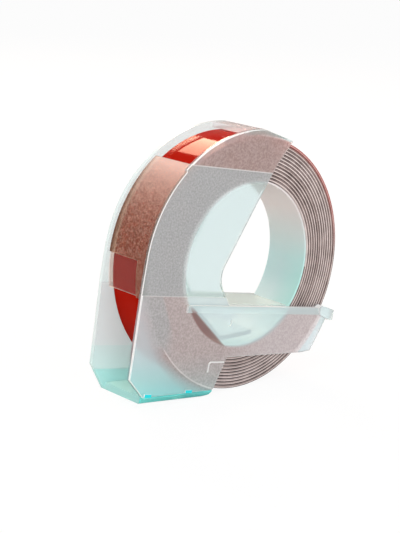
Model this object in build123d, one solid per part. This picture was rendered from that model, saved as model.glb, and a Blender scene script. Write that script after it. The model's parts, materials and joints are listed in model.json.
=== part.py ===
from build123d import *
import os
from math import acos, atan2, cos, degrees, hypot, pi, radians, sin, sqrt

# Refill cartridge for an embossing label maker: a coil of glossy vinyl tape on a thin
# core ring, held between two clear cheeks, with a foot that the tape leaves through.
# Millimetres. The design frame has X to the right, Z up and the coil's axis along Y at
# the origin. Each outline is a list of (x, z) points, and the near cheek is at -Y.
# The finished parts are then turned about Y into the pose in which the cartridge rests
# on a table, on the toe of its foot and on the coil's rim.

# Tape
tape_width = 9.0
tape_length = 3000.0
vinyl_thickness = 0.20
liner_thickness = 0.08
winding_slack = 0.006            # air between one turn and the next
tape_end_angle = 108.0           # past the last whole turn, clockwise from +X

# Core ring
core_inner_radius = 14.33
core_wall = 0.35
core_to_tape_gap = 0.05
core_edge_chamfer = 0.08

# Cheeks
cheek_thickness = 0.80
cheek_edge_round = 0.15
side_clearance = 0.15            # between the tape's edges and each cheek
coil_clearance = 0.25            # between the coil and whatever goes round it
rim_lip = 0.10                   # the near cheek's edge outside the guard
rim_lip_far = 0.60               # the same for the far cheek
rim_lip_high = 0.45              # the same for both, above the jog in the edge
jog_angle = 139.5
jog_sweep = 0.8                  # the angle that the near cheek's jog takes
jog_sweep_far = 8.0
side_knee_z = -4.8               # the left side is upright down to here, then slants in
foot_side_inset = 0.35           # how far in it is at the top of the foot
rim_top_angle = 94.0             # where the round edge ends and the straight top begins
top_corner_angle = 76.5
top_corner_lip = 0.40
top_corner_fillet = 0.9
edge_knee = (2.35, 17.6)         # the slanted free edge that crosses the coil
edge_base = (-5.75, -0.5)
edge_bow = (-6.0, -2.3)
edge_turn = (-5.2, -4.4)
edge_end_x = -3.0
frost_bottom_z = -5.8            # the frosted band is a shallow step in the near cheek
frost_step = 0.10

# Guard: the curved frosted wall between the cheeks
guard_wall = 0.45
guard_top_angle = 135.5
guard_bottom_angle = 197.0
bridge_left_angle = 102.0
bridge_right_x = 4.2

# Latch: a tongue of the tray in a notch of the guard
latch_top_angle = 181.5
latch_bottom_angle = 196.4
latch_near_y = -2.6
latch_clearance = 0.10
latch_lead_in = 0.15             # the tongue lies this far under the guard's surface
notch_overcut = 1.0              # the notch's cut starts and ends this far outside the guard

# Foot
heel_inset = 3.75                # from the cheek's straight edge to the heel corner
heel_drop = 1.75                 # heel corner below the guard's inner radius
heel_rise = 4.3                  # from the heel corner up to the straight edge's end
toe_x = -5.2
toe_drop = 0.85
nose_offset = (2.0, 1.55)        # these three are measured from the toe
cover_corner_reach = 1.45        # the cover's lower right corner, beyond the toe
cover_side_offset = (1.8, 1.65)
sole_thickness = 1.15
sole_bevel = (1.4, 0.35)         # at the toe
sole_chamfer = (0.85, 1.0)       # along the sole's near lower edge: inwards and up
heel_shift = 0.1                 # the sole's end leans in by this much
cut_spare = 0.2                  # the chamfer's cutter is this much larger at both ends
cover_seam_gap = 0.05

# Arm
arm_top_z = -7.2
arm_root = (-1.5, -16.3)
arm_chin = (17.0, -15.6)         # the lower edge bends up here, towards the lower corner
arm_bottom_z = -15.25
arm_tip_z = -9.35
arm_reach_low = 2.2              # past the coil's rim, at the arm's lower corner
arm_reach_high = 1.5
arm_shoulder = 0.6               # bevel at the arm's upper corner
rib_left_x = -12.9
rib_height = 1.25
rib_stand = 0.40                 # how far the rib stands out of the cheek
tab_length = 0.95                # past the arm's end
tab_root = (3.1, 2.4)            # where the tab's top starts to rise and where it is highest
tab_rise = 0.5
tab_fall = 0.3
tab_stand = 0.70

# Hub inside the core ring
hub_clearance = 0.35
hub_wall = 0.80
hub_shelf_z = -7.0
hub_left_z = -7.7
hub_left_inset = 0.2
hub_low_angle = 255.1
hub_right_angle = 288.0
hub_right_inset = 1.05

# Small moulded marks on the near cheek
lug_stand = 0.25
lugs = (((0.15, 1.32), (1.5, 0.55)), ((9.2, 1.9), (1.5, 0.5)))   # offset from the heel, size
guide_corner = (-5.75, -17.0)    # outer corner of the raised guide line
guide_drop = 1.9
guide_radius = 0.6
guide_width = 0.25
guide_stand = 0.12
gate_mark = (-2.35, -10.2)
gate_mark_radius = 0.55
gate_mark_depth = 0.15

# Worked out from the values above
tape_pitch = vinyl_thickness + liner_thickness + winding_slack
tape_start_radius = core_inner_radius + core_wall + core_to_tape_gap + tape_pitch / 4
turns_needed = (sqrt(tape_start_radius**2 + tape_length * tape_pitch / pi) - tape_start_radius) / tape_pitch
whole_turns = int(turns_needed - tape_end_angle / 360)
coil_radius = tape_start_radius + whole_turns * tape_pitch + liner_thickness + vinyl_thickness
coil_reach = coil_radius + tape_pitch / 4
cheek_inner_y = tape_width / 2 + side_clearance
cheek_outer_y = cheek_inner_y + cheek_thickness
guard_inner_radius = coil_reach + coil_clearance
guard_outer_radius = guard_inner_radius + guard_wall
rim_radius = guard_outer_radius + rim_lip
rim_radius_high = guard_outer_radius + rim_lip_high
hub_radius = core_inner_radius - hub_clearance
heel = (-rim_radius + heel_inset, -guard_inner_radius - heel_drop)
toe = (toe_x, -guard_inner_radius - toe_drop)
foot_left = (-rim_radius + foot_side_inset, heel[1] + heel_rise)
frost_top_z = guard_outer_radius * sin(radians(guard_top_angle))


def offset(point, step):
    return (point[0] + step[0], point[1] + step[1])


def polar(radius, angle, centre_x=0.0):
    """Point at an angle in degrees about a centre on the X axis."""
    return (centre_x + radius * cos(radians(angle)), radius * sin(radians(angle)))


def on_circle(radius, z):
    """Point of a circle about the origin at height z, on the right."""
    return (sqrt(radius**2 - z**2), z)


def arc(radius, start, end, centre_x=0.0):
    """Arc from one angle to another about a centre on the X axis."""
    middle = (start + end) / 2
    return ThreePointArc(*(polar(radius, angle, centre_x) for angle in (start, middle, end)))


def path(*points):
    """Straight edges from point to point."""
    return [Line(a, b) for a, b in zip(points, points[1:])]


def slab(edges, y_low, y_high):
    """Closed outline in X and Z, made solid from y_low to y_high."""
    plane = Plane(origin=(0, y_high, 0), x_dir=(1, 0, 0), z_dir=(0, -1, 0))
    return extrude(plane * make_face(edges), amount=y_high - y_low)


def closed(*points):
    """Straight-sided outline."""
    return path(*points, points[0])


def ring_sector(inner, outer, start, end):
    """Outline of a piece of a ring between two angles."""
    return [
        arc(outer, start, end), Line(polar(outer, end), polar(inner, end)),
        arc(inner, end, start), Line(polar(inner, start), polar(outer, start)),
    ]


def rectangle(low, high):
    """Outline of an upright rectangle between two corners."""
    return closed(low, (high[0], low[1]), high, (low[0], high[1]))


def wall(start, end, thickness):
    """Outline of a straight wall whose thickness lies to the left of start to end."""
    length = hypot(end[0] - start[0], end[1] - start[1])
    across = (-(end[1] - start[1]) / length * thickness, (end[0] - start[0]) / length * thickness)
    return closed(start, end, (end[0] + across[0], end[1] + across[1]),
                  (start[0] + across[0], start[1] + across[1]))


def spiral(radius):
    """Clockwise spiral of half turns about two centres, from +X to the tape's end."""
    half_step = tape_pitch / 2
    edges = []
    for turn in range(whole_turns):
        lower = radius + turn * tape_pitch
        edges.append(arc(lower, 0, -180, -half_step / 2))
        edges.append(arc(lower + half_step, 180, 0, half_step / 2))
    edges.append(arc(radius + whole_turns * tape_pitch, 0, -tape_end_angle, -half_step / 2))
    return edges


def wound_strip(radius, thickness):
    """One strip of the tape, wound from the given inner radius."""
    centre_x = -tape_pitch / 4
    last = radius + whole_turns * tape_pitch
    ends = [
        Line(polar(radius, 0, centre_x), polar(radius + thickness, 0, centre_x)),
        Line(polar(last, -tape_end_angle, centre_x), polar(last + thickness, -tape_end_angle, centre_x)),
    ]
    edges = spiral(radius) + spiral(radius + thickness) + ends
    return slab(edges, -tape_width / 2, tape_width / 2)


def tape_liner():
    return wound_strip(tape_start_radius, liner_thickness)


def tape_vinyl():
    return wound_strip(tape_start_radius + liner_thickness, vinyl_thickness)


def core_ring():
    outer = Cylinder(core_inner_radius + core_wall, tape_width, rotation=(90, 0, 0))
    ring = outer - Cylinder(core_inner_radius, tape_width, rotation=(90, 0, 0))
    rims = ring.edges().filter_by(GeomType.CIRCLE)
    return chamfer(rims, core_edge_chamfer)


def arm_tip():
    """Lower end of the arm's upright edge, where the tab starts."""
    return on_circle(coil_reach + arm_reach_high, arm_tip_z)


def cheek_outline(foot_points, lip, sweep):
    """Outline of a cheek. foot_points runs from heel to toe along the bottom, and the left edge
    stands lip outside the guard, below a jog that takes the angle sweep."""
    low_radius = guard_outer_radius + lip
    tip_low = on_circle(coil_reach + arm_reach_low, arm_bottom_z)
    tip_high = arm_tip()
    top_corner = polar(coil_reach + top_corner_lip, top_corner_angle)
    straight = path(
        (-low_radius, 0), (-low_radius, side_knee_z), foot_left, *foot_points,
        arm_root, arm_chin, tip_low, tip_high, (tip_high[0], arm_top_z - arm_shoulder),
        (tip_high[0] - arm_shoulder, arm_top_z), (edge_end_x, arm_top_z),
    )
    turn = [
        Line((edge_end_x, arm_top_z), edge_turn),
        ThreePointArc(edge_turn, edge_bow, edge_base),
    ]
    top = path(edge_base, edge_knee, top_corner, polar(rim_radius_high, rim_top_angle))
    rim = [
        arc(rim_radius_high, rim_top_angle, jog_angle),
        Line(polar(rim_radius_high, jog_angle), polar(low_radius, jog_angle + sweep)),
        arc(low_radius, jog_angle + sweep, 180),
    ]
    return straight + turn + top + rim


def cheek_plate(outline, y_low, y_high, outer_face):
    """One cheek, with the edges of its outer face rounded. outer_face is -1 or 1."""
    plate = slab(outline, y_low, y_high)
    rim_edges = plate.faces().sort_by(Axis.Y)[0 if outer_face < 0 else -1].edges()
    return fillet(rim_edges, cheek_edge_round)


def arm_rib():
    """Rib along the arm's top edge, with the tab at its end."""
    tip_x = arm_tip()[0]
    rib = rectangle((rib_left_x, arm_top_z - rib_height), (tip_x, arm_top_z))
    tab = closed(
        (tip_x - tab_root[0], arm_top_z), (tip_x - tab_root[1], arm_top_z + tab_rise),
        (tip_x + tab_length, arm_top_z - tab_fall), (tip_x + tab_length, arm_tip_z),
        (tip_x, arm_tip_z), (tip_x - tab_root[1], arm_top_z - rib_height),
    )
    rib_solid = slab(rib, -cheek_outer_y - rib_stand, -cheek_outer_y)
    return rib_solid + slab(tab, -cheek_outer_y - tab_stand, -cheek_inner_y)


def guide_line():
    """Raised line low on the cover: level, round a corner, then down."""
    outer = -cheek_outer_y
    inner_radius = guide_radius - guide_width
    turn = Pos(guide_corner[0] + guide_radius, 0, guide_corner[1] - guide_radius)
    level = rectangle((guide_corner[0] + guide_radius, guide_corner[1] - guide_width),
                      (arm_root[0] - guide_radius, guide_corner[1]))
    drop = rectangle((guide_corner[0], guide_corner[1] - guide_drop),
                     (guide_corner[0] + guide_width, guide_corner[1] - guide_radius))
    corner = slab(ring_sector(inner_radius, guide_radius, 90, 180), outer - guide_stand, outer)
    return [slab(level, outer - guide_stand, outer), slab(drop, outer - guide_stand, outer), turn * corner]


def near_cover():
    foot_points = [cover_heel(), offset(sole_toe(), (0, cover_seam_gap)), offset(toe, cover_side_offset)]
    outer = -cheek_outer_y
    body = cheek_plate(cheek_outline(foot_points, rim_lip, jog_sweep), outer, -cheek_inner_y, -1)
    frost = rectangle((-2 * rim_radius, frost_bottom_z), (rim_radius, frost_top_z))
    body -= slab(frost, outer, outer + frost_step)
    body += arm_rib()
    for piece in guide_line():
        body += piece
    for step, size in lugs:
        low = offset(heel, step)
        body += slab(rectangle(low, offset(low, size)), outer - lug_stand, outer)
    mark = Plane(origin=(gate_mark[0], outer + gate_mark_depth, gate_mark[1]), z_dir=(0, -1, 0))
    body -= extrude(mark * Circle(gate_mark_radius), amount=gate_mark_depth)
    return body


def sole_top(x):
    """Height of the sole's upper face at x."""
    slope = (toe[1] - heel[1]) / (toe[0] - heel[0])
    return heel[1] + slope * (x - heel[0]) + sole_thickness


def sole_heel():
    """Upper left corner of the sole."""
    x = heel[0] + heel_shift
    return (x, sole_top(x))


def sole_toe():
    """Upper right corner of the sole."""
    x = toe[0] + cover_corner_reach
    return (x, sole_top(x))


def cover_heel():
    """The cover's heel corner, just clear of the sole."""
    return offset(sole_heel(), (0, cover_seam_gap))


def hub():
    """Three walls inside the core ring, across from cheek to cheek."""
    shelf_x = sqrt(hub_radius**2 - (hub_shelf_z - hub_wall) ** 2)
    low = polar(hub_radius, hub_low_angle)
    left = (-sqrt(hub_radius**2 - hub_left_z**2) + hub_left_inset, hub_left_z)
    shelf = rectangle((-shelf_x, hub_shelf_z - hub_wall), (shelf_x, hub_shelf_z))
    walls = slab(shelf, -cheek_inner_y, cheek_inner_y)
    walls += slab(wall(left, low, hub_wall), -cheek_inner_y, cheek_inner_y)
    right = polar(hub_radius - hub_right_inset, hub_right_angle)
    walls += slab(wall(low, right, hub_wall), -cheek_inner_y, cheek_inner_y)
    return walls


def tray_foot():
    """Bottom points of the tray's cheek."""
    return [heel, toe, offset(toe, nose_offset)]


def tray_outline():
    return cheek_outline(tray_foot(), rim_lip_far, jog_sweep_far)


def bridge():
    """Wall across the top, outside the coil."""
    block = slab(tray_outline(), -cheek_inner_y, cheek_inner_y)
    left_x = polar(rim_radius, bridge_left_angle)[0]
    window = slab(rectangle((left_x, 0), (bridge_right_x, 2 * rim_radius)), -cheek_inner_y, cheek_inner_y)
    bore = slab([arc(guard_inner_radius, 0, 180), arc(guard_inner_radius, 180, 360)],
                -cheek_inner_y, cheek_inner_y)
    return (block & window) - bore


def chamfer_wedge():
    """What is cut off the sole's near lower edge, all along the sole."""
    inwards, up = sole_chamfer
    length = hypot(toe[0] - heel[0], toe[1] - heel[1])
    along = Plane(origin=(heel[0], -cheek_outer_y, heel[1]), x_dir=(0, 1, 0),
                  z_dir=(toe[0] - heel[0], 0, toe[1] - heel[1]))
    low, high = (inwards * (1 + cut_spare), -up * cut_spare), (-inwards * cut_spare, up * (1 + cut_spare))
    corner = (high[0], low[1])
    outline = make_face([Line(low, high), Line(high, corner), Line(corner, low)])
    return extrude(along.offset(-length) * outline, amount=3 * length)


def sole():
    """Bottom of the foot, which the cover's lower edge meets."""
    floor = closed(heel, toe, offset(toe, sole_bevel), sole_toe(), sole_heel())
    return slab(floor, -cheek_outer_y, cheek_inner_y) - chamfer_wedge()


def latch_tongue():
    sector = ring_sector(guard_inner_radius, guard_outer_radius - latch_lead_in,
                         latch_top_angle, latch_bottom_angle)
    return slab(sector, latch_near_y, cheek_inner_y)


def far_tray():
    cheek = cheek_plate(tray_outline(), cheek_inner_y, cheek_outer_y, 1)
    return cheek + sole() + bridge() + hub() + latch_tongue()


def frosted_guard():
    band = ring_sector(guard_inner_radius, guard_outer_radius, guard_top_angle, guard_bottom_angle)
    clearance_angle = degrees(latch_clearance / guard_outer_radius)
    overcut_angle = degrees(notch_overcut / guard_outer_radius)
    notch = ring_sector(guard_inner_radius - notch_overcut, guard_outer_radius + notch_overcut,
                        latch_top_angle - clearance_angle, guard_bottom_angle + overcut_angle)
    body = slab(band, -cheek_inner_y, cheek_inner_y)
    return body - slab(notch, latch_near_y - latch_clearance, cheek_inner_y)


def resting_tilt():
    """Turn about Y that brings the toe and the coil's rim down to the same height."""
    reach = hypot(*toe)
    return degrees(acos(coil_radius / reach) - atan2(-toe[0], -toe[1]))


def main():
    parts = {
        "near_cover": near_cover(),
        "far_tray": far_tray(),
        "frosted_guard": frosted_guard(),
        "core_ring": core_ring(),
        "tape_vinyl": tape_vinyl(),
        "tape_liner": tape_liner(),
    }
    standing = {name: Rot(0, resting_tilt(), 0) * shape for name, shape in parts.items()}
    box = Compound([solid for shape in standing.values() for solid in shape.solids()]).bounding_box()
    origin = Pos(-box.center().X, -box.center().Y, -box.min.Z)
    os.makedirs("parts", exist_ok=True)
    for name, shape in standing.items():
        export_step(origin * shape, f"parts/{name}.step")
    print("turns", whole_turns + tape_end_angle / 360, "coil radius", coil_radius, "tilt", resting_tilt())
    print("coil axis at", tuple(origin.position))
    print("size", box.size)


main()
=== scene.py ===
import json
import math
import random

import bmesh
import bpy
from mathutils import Matrix, Quaternion, Vector


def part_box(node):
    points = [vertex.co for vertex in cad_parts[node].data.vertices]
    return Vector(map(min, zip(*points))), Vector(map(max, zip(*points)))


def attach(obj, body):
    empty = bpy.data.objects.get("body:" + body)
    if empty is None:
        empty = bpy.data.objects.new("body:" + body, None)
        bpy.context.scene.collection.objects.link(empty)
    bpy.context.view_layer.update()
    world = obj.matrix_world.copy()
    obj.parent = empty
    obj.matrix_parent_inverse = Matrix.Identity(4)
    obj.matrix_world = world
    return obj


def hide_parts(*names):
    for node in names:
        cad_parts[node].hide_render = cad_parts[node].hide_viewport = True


# An embossing tape cartridge: a coil of red vinyl tape between two clear cheeks.
# Everything is in metres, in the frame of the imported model. Noise scales are per metre.

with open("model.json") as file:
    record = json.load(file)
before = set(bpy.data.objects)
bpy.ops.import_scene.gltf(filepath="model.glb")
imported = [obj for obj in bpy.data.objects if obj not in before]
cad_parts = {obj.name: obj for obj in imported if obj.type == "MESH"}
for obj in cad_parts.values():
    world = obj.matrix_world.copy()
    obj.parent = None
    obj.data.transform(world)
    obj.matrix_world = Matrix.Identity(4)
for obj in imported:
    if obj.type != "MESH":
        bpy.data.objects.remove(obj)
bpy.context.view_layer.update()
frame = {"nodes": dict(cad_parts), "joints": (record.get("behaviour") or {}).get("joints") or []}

MM = 0.001

# ---------------------------------------------------------------- places

AXIS = Vector(frame["joints"][0]["pos_m"])          # centre of the coil
TILT = math.radians(9.45)                           # the cartridge leans this far on its foot
ring_low, ring_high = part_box("core_ring")
coil_low, coil_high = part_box("tape_vinyl")
cover_low, cover_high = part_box("near_cover")
RING_OUTER = (ring_high.x - ring_low.x) / 2
COIL_OUTER = coil_high.x - AXIS.x
TAPE_HALF = (coil_high.y - coil_low.y) / 2
TAB_PROUD = 0.7 * MM                                # the tab stands this far out of the cover's face
COVER_FACE = cover_low.y + TAB_PROUD - AXIS.y
TRAY_INNER = AXIS.y - cover_high.y                  # the tray's cheek is the cover's mirror image
EDGE_MIDDLE = (COVER_FACE - TRAY_INNER) / 2         # halfway through the cover's thickness

# The mouldings' places from the coil's axis, with the lean taken out. LOW and TOP are heights,
# LEFT and RIGHT are distances to the right.
FROST_LOW = -5.8 * MM
FROST_TOP = 16.1 * MM
FOOT_LOW = -24.5 * MM
FOOT_TOP = -15.0 * MM                               # the foot's teal starts here
RIB_LOW = -13.0 * MM
TAB_LEFT = 20.5 * MM
GUIDE_LOW = -19.5 * MM
GUIDE_TOP = -16.0 * MM
LUG_TOP = -20.0 * MM
TONGUE_LOW = -8.5 * MM
TONGUE_RIGHT = -21.0 * MM
BRIDGE_LOW = 15.0 * MM
FOOT_WALL_TOP = -16.7 * MM
SOLE_TOP = -20.85 * MM

# ---------------------------------------------------------------- the tape's winding

PITCH = 0.286 * MM
TURNS = 25.3
STEPS = 120                                         # cross-sections in one turn
LINER = 0.08 * MM
VINYL = 0.20 * MM
INNER = RING_OUTER + 0.12 * MM                      # the innermost liner's nominal radius
LOOSE = 0.016 * MM                                  # a turn lies at most this far in or out
DRAWS = 29                                          # more than the turns, so that none repeats
START_INSIDE = PITCH / 4                            # the strip starts this far inside INNER
RIM_SPARE = 0.01 * MM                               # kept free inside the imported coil's rim

random_edges = random.Random(7)

# ---------------------------------------------------------------- looks shared by several materials

WHITE = (1, 1, 1)
COIL_GREY = (0.57, 0.59, 0.60)
PLASTIC_IOR = 1.15                                  # low, so that thin edges stay clear
COAT_IOR = 1.45
WORLD_LIGHT = 0.67
MIRRORED_LIGHT = 0.12
FLOOR_GLOW = 0.92                                   # the rest of the floor takes shadows


class Shader:
    """The node tree of a material or world, with short calls for the nodes used here."""

    def __init__(self, owner, out="OutputMaterial"):
        owner.use_nodes = True
        self.owner = owner
        self.tree = owner.node_tree
        self.tree.nodes.clear()
        self.out = self.node(out)

    def finish(self, surface):
        self.link(surface, self.out.inputs["Surface"])
        return self.owner

    def node(self, kind, **settings):
        made = self.tree.nodes.new("ShaderNode" + kind)
        for key, value in settings.items():
            setattr(made, key, value)
        return made

    def link(self, source, target):
        self.tree.links.new(source, target)

    def fill(self, socket, value):
        """Links a socket, or sets a plain number or colour on the socket itself."""
        if isinstance(value, bpy.types.NodeSocket):
            self.link(value, socket)
        elif isinstance(value, tuple) and len(value) == 3 and socket.type == "RGBA":
            socket.default_value = (*value, 1)
        else:
            socket.default_value = value

    # numbers and colours

    def math(self, operation, a, b=0.0, clamp=False):
        made = self.node("Math", operation=operation, use_clamp=clamp)
        self.fill(made.inputs[0], a)
        self.fill(made.inputs[1], b)
        return made.outputs[0]

    def times(self, first, *others):
        for other in others:
            first = self.math("MULTIPLY", first, other)
        return first

    def minus(self, a, b):
        return self.math("SUBTRACT", a, b)

    def mix(self, factor, a, b):
        made = self.node("Mix", data_type="RGBA")
        self.fill(made.inputs[0], factor)
        self.fill(made.inputs[6], a)
        self.fill(made.inputs[7], b)
        return made.outputs[2]

    def mix_number(self, factor, a, b):
        made = self.node("Mix", data_type="FLOAT")
        self.fill(made.inputs[0], factor)
        self.fill(made.inputs[2], a)
        self.fill(made.inputs[3], b)
        return made.outputs[0]

    def ramp(self, value, start, end):
        """0 at start, 1 at end, which may be the lower of the two."""
        made = self.node("MapRange", clamp=True)
        self.fill(made.inputs[0], value)
        self.fill(made.inputs[1], start)
        self.fill(made.inputs[2], end)
        return made.outputs[0]

    def between(self, value, low, high, soft):
        """1 where value is between low and high, fading over soft at both ends."""
        return self.times(self.ramp(value, low - soft, low), self.ramp(value, high + soft, high))

    def noise(self, vector, scale, detail=2.0):
        made = self.node("TexNoise")
        self.fill(made.inputs["Vector"], vector)
        self.fill(made.inputs["Scale"], scale)
        self.fill(made.inputs["Detail"], detail)
        return made.outputs[0]

    # places and directions

    def design_place(self):
        """Place from the coil's centre with the lean taken out, as a vector and as its three parts."""
        turn = self.node("VectorRotate", rotation_type="Y_AXIS")
        self.fill(turn.inputs["Vector"], self.node("TexCoord").outputs["Object"])
        self.fill(turn.inputs["Center"], AXIS)
        self.fill(turn.inputs["Angle"], -TILT)
        shift = self.node("VectorMath", operation="SUBTRACT")
        self.fill(shift.inputs[0], turn.outputs[0])
        self.fill(shift.inputs[1], AXIS)
        split = self.node("SeparateXYZ")
        self.fill(split.inputs[0], shift.outputs[0])
        return shift.outputs[0], split.outputs

    def radius(self, place):
        """Distance from the coil's axis."""
        squares = self.math("ADD", self.math("POWER", place[0], 2.0), self.math("POWER", place[2], 2.0))
        return self.math("SQRT", squares)

    def normal(self):
        split = self.node("SeparateXYZ")
        self.fill(split.inputs[0], self.node("NewGeometry").outputs["True Normal"])
        return split.outputs

    def facing(self, normal):
        """How far the face looks along the coil's axis: 1 on the cheeks' flats, 0 on their edges."""
        return self.math("ABSOLUTE", normal[1])

    # rays

    def looked_at(self):
        """1 for rays that show the surroundings to the camera, straight or through plastic."""
        path = self.node("LightPath").outputs
        seen = self.math("MAXIMUM", path["Is Camera Ray"], path["Is Transmission Ray"])
        for depth in ("Diffuse Depth", "Glossy Depth"):
            seen = self.times(seen, self.math("LESS_THAN", path[depth], 0.5))
        return seen

    def mirrored(self):
        """1 for rays that a glossy surface mirrors, whatever they pass through afterwards."""
        return self.math("GREATER_THAN", self.node("LightPath").outputs["Glossy Depth"], 0.5)

    # surfaces

    def surface(self, kind, **values):
        made = self.node(kind)
        for key, value in values.items():
            self.fill(made.inputs[key.replace("_", " ")], value)
        return made.outputs[0]

    def mix_surfaces(self, factor, a, b):
        made = self.node("MixShader")
        for socket, value in zip(made.inputs, (factor, a, b)):
            self.fill(socket, value)
        return made.outputs[0]

    def thin_plastic(self, color, see, light_tint, **gloss):
        """Thin coated plastic, see-through by see. Lamps shine through it with a tint."""
        body = self.surface("BsdfPrincipled", Base_Color=color, Transmission_Weight=see,
                            IOR=PLASTIC_IOR, Coat_IOR=COAT_IOR, **gloss)
        lit = self.surface("BsdfTransparent", Color=light_tint)
        return self.mix_surfaces(self.node("LightPath").outputs["Is Shadow Ray"], body, lit)


def material_shader(name):
    return Shader(bpy.data.materials.new(name))


# ---------------------------------------------------------------- camera, lamps, surroundings

def add_camera():
    """Camera at the photograph's angle: a long lens, left of the coil's axis and a little above."""
    azimuth, elevation, roll = (math.radians(a) for a in (-42.27, 14.36, 2.81))
    distance = 0.26454
    aim = AXIS + Vector((-0.003862, 0.002965, -0.001576))
    back = Vector((math.sin(azimuth) * math.cos(elevation),
                   -math.cos(azimuth) * math.cos(elevation), math.sin(elevation)))
    data = bpy.data.cameras.new("camera")
    data.lens = 102.6
    data.sensor_width = 36.0
    data.clip_start = 0.01
    data.clip_end = 10.0
    camera = bpy.data.objects.new("camera", data)
    camera.location = aim + back * distance
    camera.rotation_mode = "QUATERNION"
    camera.rotation_quaternion = back.to_track_quat("Z", "Y") @ Quaternion((0, 0, 1), roll)
    bpy.context.scene.collection.objects.link(camera)
    bpy.context.scene.camera = camera


def add_lamp(name, direction, distance, size, power, color=WHITE, along=(0, 0, 1)):
    """Area lamp that faces the coil. Its second side runs along the given direction."""
    data = bpy.data.lights.new(name, "AREA")
    data.shape = "RECTANGLE"
    data.size, data.size_y = size
    data.energy = power
    data.color = color
    lamp = bpy.data.objects.new(name, data)
    back = Vector(direction).normalized()
    side = Vector(along).cross(back).normalized()
    turn = Matrix((side, back.cross(side), back)).transposed().to_4x4()
    lamp.matrix_world = Matrix.Translation(AXIS + back * distance) @ turn
    bpy.context.scene.collection.objects.link(lamp)


def add_lamps():
    """A small warm lamp behind, which the top of the tape mirrors, and two large ones in front and
    above."""
    add_lamp("softbox_back", (0.335, 0.705, 0.60), 0.45, (0.20, 0.155), 1.3,
             color=(1, 0.62, 0.43), along=(0.246, 0, -0.15))
    add_lamp("softbox_front", (0.15, -0.8, 0.6), 0.6, (0.5, 0.5), 1.5)
    add_lamp("softbox_top", (-0.35, -0.05, 0.93), 0.6, (0.4, 0.4), 0.9)


def add_world():
    """White surroundings: full white where they are looked at, a little less as light, and dim where
    they are mirrored, as if dark screens stood around the tape."""
    world = bpy.data.worlds.new("studio")
    bpy.context.scene.world = world
    s = Shader(world, "OutputWorld")
    white, light, dim = (s.surface("Background", Color=WHITE, Strength=strength)
                         for strength in (1.0, WORLD_LIGHT, MIRRORED_LIGHT))
    unseen = s.mix_surfaces(s.mirrored(), light, dim)
    s.finish(s.mix_surfaces(s.looked_at(), unseen, white))


def floor_white(name):
    """White where it is looked at, with the object's shadow, and dark where it is mirrored."""
    s = material_shader(name)
    seen = s.looked_at()
    pale = s.surface("BsdfDiffuse", Color=(0.9, 0.9, 0.9))
    dark = s.surface("BsdfDiffuse", Color=(0.1, 0.1, 0.1))
    glow = s.surface("Emission", Color=WHITE, Strength=seen)
    shown = s.mix_surfaces(FLOOR_GLOW, pale, glow)
    unseen = s.mix_surfaces(s.mirrored(), pale, dark)
    return s.finish(s.mix_surfaces(seen, unseen, shown))


def add_floor():
    half = 1.5
    corners = [(-half, -half, 0), (half, -half, 0), (half, half, 0), (-half, half, 0)]
    mesh = bpy.data.meshes.new("floor")
    mesh.from_pydata(corners, [], [(0, 1, 2, 3)])
    mesh.materials.append(floor_white("floor_white"))
    floor = bpy.data.objects.new("floor", mesh)
    bpy.context.scene.collection.objects.link(floor)


# ---------------------------------------------------------------- the two cheeks

def coil_close_behind(s, place, radius):
    """1 where the coil lies close behind the cheek. On the left it shows softly past its rim."""
    left_rim = s.ramp(radius, COIL_OUTER + 2.5 * MM, COIL_OUTER)
    right_rim = s.ramp(radius, COIL_OUTER + 0.3 * MM, COIL_OUTER)
    rim = s.mix_number(s.ramp(place[0], -2.0 * MM, 4.0 * MM), left_rim, right_rim)
    return s.times(s.ramp(radius, RING_OUTER - 0.5 * MM, RING_OUTER), rim)


def high_coil_paint(s, place, radius):
    """Above the frosted band: brown, and redder towards the coil's upper right rim in a painted glow of
    light from behind.
    """
    # painted glow of light from behind at the coil's upper right rim
    glow = s.times(s.ramp(radius, 18.5 * MM, 21.5 * MM), s.ramp(place[0], -1.0 * MM, 9.0 * MM), 0.7)
    return s.mix(glow, (0.55, 0.38, 0.35), (0.80, 0.42, 0.38))


def low_coil_paint(s, place, radius):
    """Below the band: brown on the left and pink on the right, with a grey corner at the far left, a
    painted shadow of the coil in a crescent just outside it and a pale line along its rim."""
    color = s.mix(s.ramp(place[0], -3.0 * MM, 8.0 * MM), (0.66, 0.56, 0.55), (0.80, 0.72, 0.73))
    down_left = s.minus(s.times(place[2], -0.56), place[0])
    corner = s.times(s.ramp(down_left, 21.6 * MM, 22.2 * MM), s.ramp(down_left, 29.0 * MM, 26.0 * MM),
                     s.ramp(place[0], -14.5 * MM, -16.5 * MM), 0.8)
    color = s.mix(corner, color, COIL_GREY)
    # painted shadow: a dark crescent just outside the coil's rim
    coil_shadow = s.times(s.ramp(radius, COIL_OUTER, COIL_OUTER + 0.2 * MM),
                       s.ramp(place[2], -14.0 * MM, -16.0 * MM))
    color = s.mix(coil_shadow, color, (0.48, 0.33, 0.32))
    line = s.times(s.between(radius, COIL_OUTER - 0.1 * MM, COIL_OUTER + 0.05 * MM, 0.08 * MM),
                   s.ramp(place[2], -14.5 * MM, -15.5 * MM))
    return s.mix(line, color, (1.0, 0.88, 0.86))


def coil_paint(s, vector, place, radius, below):
    """What shows of the coil through a cheek's haze: grey in the frosted band and pinker above and
    below it, with soft clouds and dark and light grain."""
    band = s.between(place[2], FROST_LOW, FROST_TOP, 0.15 * MM)
    clouds = s.noise(vector, 260.0, 3.0)
    grain = s.ramp(s.noise(vector, 3000.0, 3.0), 0.35, 0.70)
    color = s.mix(below, high_coil_paint(s, place, radius), low_coil_paint(s, place, radius))
    color = s.mix(band, color, COIL_GREY)
    color = s.mix(s.times(clouds, 0.3), color, (0.68, 0.62, 0.62))
    return s.mix(grain, s.mix(0.22, color, (0.10, 0.10, 0.10)), s.mix(0.16, color, WHITE))


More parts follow.
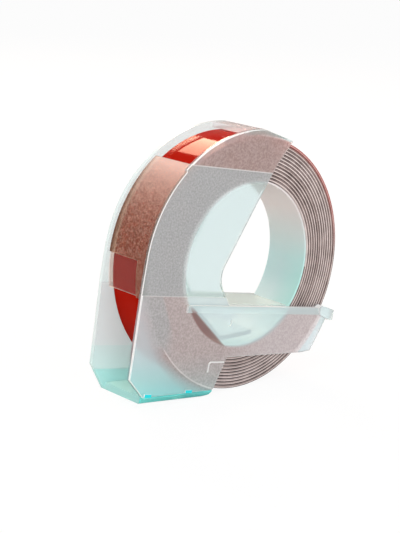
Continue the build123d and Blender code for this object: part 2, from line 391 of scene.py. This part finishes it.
def cheek_plastic(name, foot_teal, edge_color, edge_see, coil_haze, marks):
    """Hazy clear plastic: haze on the flats, a painted highlight where they round over into the edges,
    and teal low in the foot. coil_haze is how much of the coil's paint it carries, and marks adds
    what only this cheek has."""
    s = material_shader(name)
    vector, place = s.design_place()
    normal = s.normal()
    radius = s.radius(place)
    flat = s.ramp(s.facing(normal), 0.90, 0.97)
    edge = s.ramp(s.facing(normal), 0.25, 0.05)
    rounding_highlight = s.minus(1.0, s.math("MAXIMUM", flat, edge))
    below = s.ramp(place[2], FROST_LOW, FROST_LOW - 0.2 * MM)
    over_coil = s.times(coil_close_behind(s, place, radius), coil_haze)
    foot = s.math("POWER", s.ramp(place[2], FOOT_TOP, FOOT_LOW), 1.5)
    foot = s.times(foot, s.minus(1.0, s.times(over_coil, 0.6)))

    haze = s.mix(below, (0.74, 0.855, 0.86), (0.74, 0.83, 0.86))
    haze = s.mix(over_coil, haze, coil_paint(s, vector, place, radius, below))
    haze = s.mix(foot, haze, foot_teal)
    color = s.mix(edge, haze, s.mix(foot, edge_color, foot_teal))
    # painted highlight where the flats round over into the edges, teal in the foot
    color = s.mix(rounding_highlight, color, s.mix(foot, (0.95, 0.97, 0.97), (0.62, 0.92, 0.90)))

    see = s.mix_number(below, 0.82, 0.60)
    see = s.mix_number(over_coil, see, 0.46)
    see = s.minus(see, s.times(foot, 0.12))
    see = s.mix_number(edge, see, edge_see)
    see = s.mix_number(rounding_highlight, see, 0.15)

    color, see = marks(s, place, normal, edge, color, see)
    return s.finish(s.thin_plastic(color, see, (0.86, 0.90, 0.90),
                                   Roughness=0.22, Coat_Weight=0.6, Coat_Roughness=0.15))


def frost_step_highlights(s, place):
    """Pale lines of painted highlight along the frosted band's step edges, the upper one stronger."""
    upper = s.between(place[2], FROST_TOP - 0.02 * MM, FROST_TOP + 0.10 * MM, 0.06 * MM)
    lower = s.between(place[2], FROST_LOW - 0.10 * MM, FROST_LOW + 0.02 * MM, 0.06 * MM)
    return s.math("ADD", s.times(upper, 0.45), s.times(lower, 0.25))


def hub_wall_shade(s, place):
    """1 left of the hub's slanted wall, where painted shade stands for the dark pocket inside the ring
    that no light reaches, tinted brown by the tape's reflection.
    """
    past_wall = s.minus(s.times(place[0], -0.593), s.times(place[2], 0.805))
    return s.times(s.ramp(past_wall, 12.9 * MM, 13.2 * MM), s.ramp(place[2], -7.0 * MM, -8.5 * MM),
                   s.ramp(s.radius(place), RING_OUTER, RING_OUTER - 0.3 * MM), 0.75)


def cover_marks(s, place, normal, edge, color, see):
    """What stands proud of the cover, painted highlights on the frosted band's step lines, the
    painted shade beside the hub and a painted white highlight on the edge's outer half."""
    proud = s.ramp(place[1], COVER_FACE - 0.02 * MM, COVER_FACE - 0.08 * MM)
    rib = s.times(proud, s.ramp(place[2], RIB_LOW, RIB_LOW + 0.2 * MM))
    guide = s.times(proud, s.between(place[2], GUIDE_LOW, GUIDE_TOP, 0.1 * MM))
    lug = s.times(proud, s.ramp(place[2], LUG_TOP, LUG_TOP - 0.2 * MM))
    tab = s.ramp(place[0], TAB_LEFT, TAB_LEFT + 1.0 * MM)
    step_highlights = frost_step_highlights(s, place)
    edge_highlight = s.times(edge, s.ramp(place[1], EDGE_MIDDLE + 0.02 * MM, EDGE_MIDDLE - 0.04 * MM))

    color = s.mix(s.math("MAXIMUM", rib, tab), color, (0.70, 0.82, 0.84))
    # the guide's own pale face, and painted highlights on the frosted band's step edges
    color = s.mix(s.math("MAXIMUM", guide, step_highlights), color, (0.93, 0.93, 0.93))
    # painted shade in the unlit pocket beside the hub's slanted wall
    color = s.mix(hub_wall_shade(s, place), color, (0.34, 0.12, 0.10))
    color = s.mix(lug, color, (0.03, 0.70, 0.76))
    # painted highlight: the white outer half of the cover's edge
    color = s.mix(edge_highlight, color, (0.97, 0.98, 0.98))

    see = s.mix_number(s.math("MAXIMUM", rib, tab), see, 0.50)
    see = s.mix_number(guide, see, 0.30)
    see = s.math("SUBTRACT", see, s.times(step_highlights, 0.35), clamp=True)
    see = s.mix_number(lug, see, 0.05)
    see = s.mix_number(edge_highlight, see, 0.05)
    return color, see


def tray_marks(s, place, normal, edge, color, see):
    """The latch tongue is clear with pale edges. Bridge, hub and sole are hazier than the cheek, and
    the underside of the hub's left wall is in the coil's shade."""
    inside = s.math("LESS_THAN", s.math("ABSOLUTE", place[1]), TRAY_INNER - 0.02 * MM)
    tongue = s.times(s.ramp(place[0], TONGUE_RIGHT, TONGUE_RIGHT - 0.1 * MM), inside,
                     s.ramp(place[2], TONGUE_LOW, TONGUE_LOW + 0.5 * MM))
    clear = s.times(tongue, s.ramp(s.math("ABSOLUTE", normal[0]), 0.80, 0.90))
    rim = s.minus(tongue, clear)
    bridge = s.times(s.ramp(place[2], BRIDGE_LOW, BRIDGE_LOW + 1.0 * MM), inside)
    hub = s.times(s.ramp(s.radius(place), RING_OUTER, RING_OUTER - 0.4 * MM), inside)
    hub_see = s.mix_number(s.ramp(s.facing(normal), 0.80, 0.90), 0.38, 0.95)
    shade = s.times(hub, s.ramp(normal[2], -0.30, -0.45), s.ramp(normal[0], -0.30, -0.45))
    foot_wall = s.math("LESS_THAN", place[2], FOOT_WALL_TOP)
    sole = s.math("LESS_THAN", place[2], SOLE_TOP)
    sole_near = s.times(sole, s.ramp(place[1], -TRAY_INNER, -TRAY_INNER - 0.1 * MM))

    color = s.mix(0.35, color, (0.97, 0.97, 0.97))
    color = s.mix(s.times(foot_wall, 0.35), color, (0.62, 0.90, 0.89))
    color = s.mix(s.times(sole, 0.65), color, (0.46, 0.88, 0.87))
    color = s.mix(s.times(sole_near, 0.8), color, (0.14, 0.92, 0.87))
    color = s.mix(clear, color, (0.90, 0.72, 0.66))
    color = s.mix(rim, color, (0.93, 0.94, 0.92))
    color = s.mix(bridge, color, (1.0, 0.98, 0.99))
    color = s.mix(hub, color, (0.88, 1.0, 1.0))
    color = s.mix(shade, color, (0.26, 0.08, 0.06))

    see = s.mix_number(sole, see, 0.45)
    see = s.mix_number(clear, see, 0.96)
    see = s.mix_number(rim, see, 0.25)
    see = s.mix_number(bridge, see, 0.62)
    see = s.mix_number(hub, see, hub_see)
    see = s.mix_number(shade, see, 0.1)
    return color, see


# ---------------------------------------------------------------- guard, ring and tape

def frosted_plastic(name):
    """Sparkling frost: grain in the haze, paler and hazier towards the top as painted light from above,
    and dark at the far side.
    """
    s = material_shader(name)
    vector, place = s.design_place()
    fine = s.noise(vector, 3600.0)
    coarse = s.noise(vector, 2200.0)
    speck = s.ramp(s.math("ADD", s.times(fine, 0.65), s.times(coarse, 0.35)), 0.42, 0.60)
    high = s.math("POWER", s.ramp(place[2], 2.0 * MM, 17.5 * MM), 1.8)
    far_side = s.times(s.ramp(place[1], 3.8 * MM, 4.2 * MM), s.minus(1.0, high))

    # painted light: paler and hazier towards the top, where the light from above falls
    color = s.mix(high, (0.60, 0.37, 0.24), (0.92, 0.83, 0.81))
    color = s.mix(s.times(speck, 0.65), color, (0.97, 0.72, 0.60))
    color = s.mix(far_side, color, (0.30, 0.15, 0.10))

    see = s.minus(0.92, s.times(high, 0.36))
    see = s.minus(see, s.times(speck, 0.19))
    see = s.minus(see, s.times(far_side, 0.45))
    return s.finish(s.thin_plastic(color, see, (0.80, 0.74, 0.72),
                                   Roughness=0.42, Coat_Weight=0.3, Coat_Roughness=0.4))


def ring_plastic(name):
    """Pale ring. Its wall carries a painted pink reflection of the tape at the top, and is teal below."""
    s = material_shader(name)
    vector, place = s.design_place()
    grain = s.noise(vector, 500.0)
    near_rim = s.times(s.ramp(place[1], 1.0 * MM, -4.4 * MM), s.ramp(place[2], 5.0 * MM, -4.0 * MM), 0.55)
    # painted pink reflection of the red tape on the wall's upper part
    color = s.mix(s.ramp(place[2], 1.0 * MM, 10.0 * MM), (0.56, 0.79, 0.80), (0.72, 0.66, 0.66))
    color = s.mix(s.ramp(place[2], -2.0 * MM, -9.0 * MM), color, (0.84, 0.98, 0.98))
    color = s.mix(near_rim, color, (0.30, 0.78, 0.68))
    color = s.mix(s.times(grain, 0.2), color, (0.80, 0.86, 0.86))
    return s.finish(s.surface("BsdfPrincipled", Base_Color=color, Roughness=0.4, IOR=1.45))


def vinyl_face(name):
    """The glossy outer face of the tape, very slightly uneven."""
    s = material_shader(name)
    grain = s.noise(s.design_place()[0], 90.0)
    color = s.mix(grain, (0.37, 0.006, 0.001), (0.44, 0.010, 0.002))
    uneven = s.surface("Bump", Strength=0.02, Distance=0.2 * MM, Height=grain)
    return s.finish(s.surface("BsdfPrincipled", Base_Color=color, Roughness=0.06, IOR=1.20, Normal=uneven))


def edge_face(name, dark, light):
    """Cut edges of the wound strips. They stand in and out by pairs of turns, so painted lit and shaded
    rings lie two turns apart, broken up by grain, with a painted red glow of back light in the top outer
    turns."""
    s = material_shader(name)
    vector, place = s.design_place()
    radius = s.radius(place)
    light_and_shade_wave = s.math("SINE", s.times(radius, math.pi / PITCH))
    grain = s.noise(vector, 500.0, 3.0)
    # painted light and shade of turns standing in and out, mixed with grain
    light_shade_and_grain = s.ramp(s.math("ADD", s.times(light_and_shade_wave, 0.36), s.times(grain, 0.5)), -0.15, 0.65)
    # painted red glow where light from behind shines through the top outer turns
    rim = s.times(s.ramp(radius, COIL_OUTER - 3 * PITCH, COIL_OUTER),
                  s.ramp(place[2], 2.0 * MM, 12.0 * MM), 0.7)
    color = s.mix(rim, s.mix(light_shade_and_grain, dark, light), (0.50, 0.06, 0.04))
    return s.finish(s.surface("BsdfPrincipled", Base_Color=color, Roughness=0.6, Specular_IOR_Level=0.25))


def give(node, material):
    """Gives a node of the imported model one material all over."""
    mesh = frame["nodes"][node].data
    mesh.materials.clear()
    mesh.materials.append(material)
    for polygon in mesh.polygons:
        polygon.material_index = 0


# ---------------------------------------------------------------- the wound tape

def stand(x, y, z):
    """A point of the leaning cartridge, from its place about the coil's centre."""
    return (x * math.cos(TILT) + z * math.sin(TILT) + AXIS.x, y + AXIS.y,
            -x * math.sin(TILT) + z * math.cos(TILT) + AXIS.z)


def draw(low, high):
    return [random_edges.uniform(low, high) for _ in range(DRAWS)]


def drawn(table, turns):
    """A table's value after so many turns, smooth from one turn to the next."""
    index = int(turns)
    blend = turns - index
    return table[index] + (table[index + 1] - table[index]) * (3 * blend**2 - 2 * blend**3)


def strip_points(count, inner, profile, depth):
    """Cross-sections of a strip wound clockwise from +X, one after the other. Each turn's edges
    stand in by up to depth."""
    near = draw(0.0, depth)
    far = draw(0.0, depth)
    loose = draw(-LOOSE, LOOSE)
    points = []
    for step in range(count + 1):
        turns = step / STEPS
        angle = 2 * math.pi * turns
        base = inner + PITCH * turns - START_INSIDE + drawn(loose, turns)
        for outward, side in profile:
            radius = min(base + outward, COIL_OUTER - RIM_SPARE)
            across = side * (TAPE_HALF - drawn(near if side < 0 else far, turns))
            points.append(stand(radius * math.cos(angle), across, -radius * math.sin(angle)))
    return points


def tube_faces(count, size, slots):
    """Faces through count + 1 sections of size points, closed at both ends, and the slot of each."""
    faces, slot_of = [], []
    for step in range(count):
        here, there = step * size, (step + 1) * size
        for i in range(size):
            j = (i + 1) % size
            faces.append((here + i, there + i, there + j, here + j))
            slot_of.append(slots[i])
    faces.append(tuple(range(size)))
    faces.append(tuple(count * size + i for i in reversed(range(size))))
    return faces, slot_of + [slots[0], slots[0]]


def face_outwards(mesh):
    work = bmesh.new()
    work.from_mesh(mesh)
    bmesh.ops.recalc_face_normals(work, faces=work.faces)
    work.to_mesh(mesh)
    work.free()


def wind(name, inner, profile, slots, depth, materials):
    """A wound strip. profile is a closed list of (outward, side) points, with side from -1 to 1
    across the tape, and slots gives each of its edges a material. Slot 0 is smooth."""
    count = int(TURNS * STEPS)
    points = strip_points(count, inner, profile, depth)
    faces, slot_of = tube_faces(count, len(profile), slots)
    mesh = bpy.data.meshes.new(name)
    mesh.from_pydata(points, [], faces)
    mesh.update()
    face_outwards(mesh)
    for material in materials:
        mesh.materials.append(material)
    for polygon, slot in zip(mesh.polygons, slot_of):
        polygon.material_index = slot
        polygon.use_smooth = slot == 0
    piece = bpy.data.objects.new(name, mesh)
    bpy.context.scene.collection.objects.link(piece)
    return piece


def wind_vinyl():
    """The tape itself, with its outer face's long edges rounded over."""
    lip = 0.03 * MM
    profile = [(0, -1), (VINYL - lip, -1), (VINYL, -0.997), (VINYL, -0.985),
               (VINYL, 0.985), (VINYL, 0.997), (VINYL - lip, 1), (0, 1)]
    materials = [vinyl_face("red_vinyl_face"),
                 # shaded and lit tones of the vinyl's edge for the painted rings
                 edge_face("red_vinyl_edge", (0.015, 0.008, 0.007), (0.44, 0.34, 0.32))]
    piece = wind("wound_vinyl", INNER + LINER, profile, (1, 1, 1, 0, 1, 1, 1, 1), 0.05 * MM, materials)
    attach(piece, "roll")
    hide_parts("tape_vinyl")


def wind_liner():
    """The backing film, a little thick so that no gap shows between it and the tape."""
    spare = 0.03 * MM
    profile = [(-spare, -1), (LINER + spare, -1), (LINER + spare, 1), (-spare, 1)]
    # shaded and lit tones of the liner's edge for the painted rings
    materials = [edge_face("liner_edge", (0.18, 0.135, 0.13), (0.84, 0.74, 0.72))]
    piece = wind("wound_liner", INNER, profile, (0, 0, 0, 0), 0.04 * MM, materials)
    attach(piece, "roll")
    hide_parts("tape_liner")


# ---------------------------------------------------------------- the scene

add_camera()
add_lamps()
add_world()
add_floor()

give("near_cover", cheek_plastic(
    "clear_plastic_cover", foot_teal=(0.38, 0.83, 0.82), edge_color=(0.96, 0.98, 0.98),
    edge_see=0.96, coil_haze=1.0, marks=cover_marks))
give("far_tray", cheek_plastic(
    "clear_plastic_tray", foot_teal=(0.64, 0.92, 0.91), edge_color=(0.80, 0.97, 0.96),
    edge_see=0.30, coil_haze=0.0, marks=tray_marks))
give("frosted_guard", frosted_plastic("frosted_plastic"))
give("core_ring", ring_plastic("ring_plastic"))
wind_vinyl()
wind_liner()

bpy.context.scene.view_settings.view_transform = "Standard"
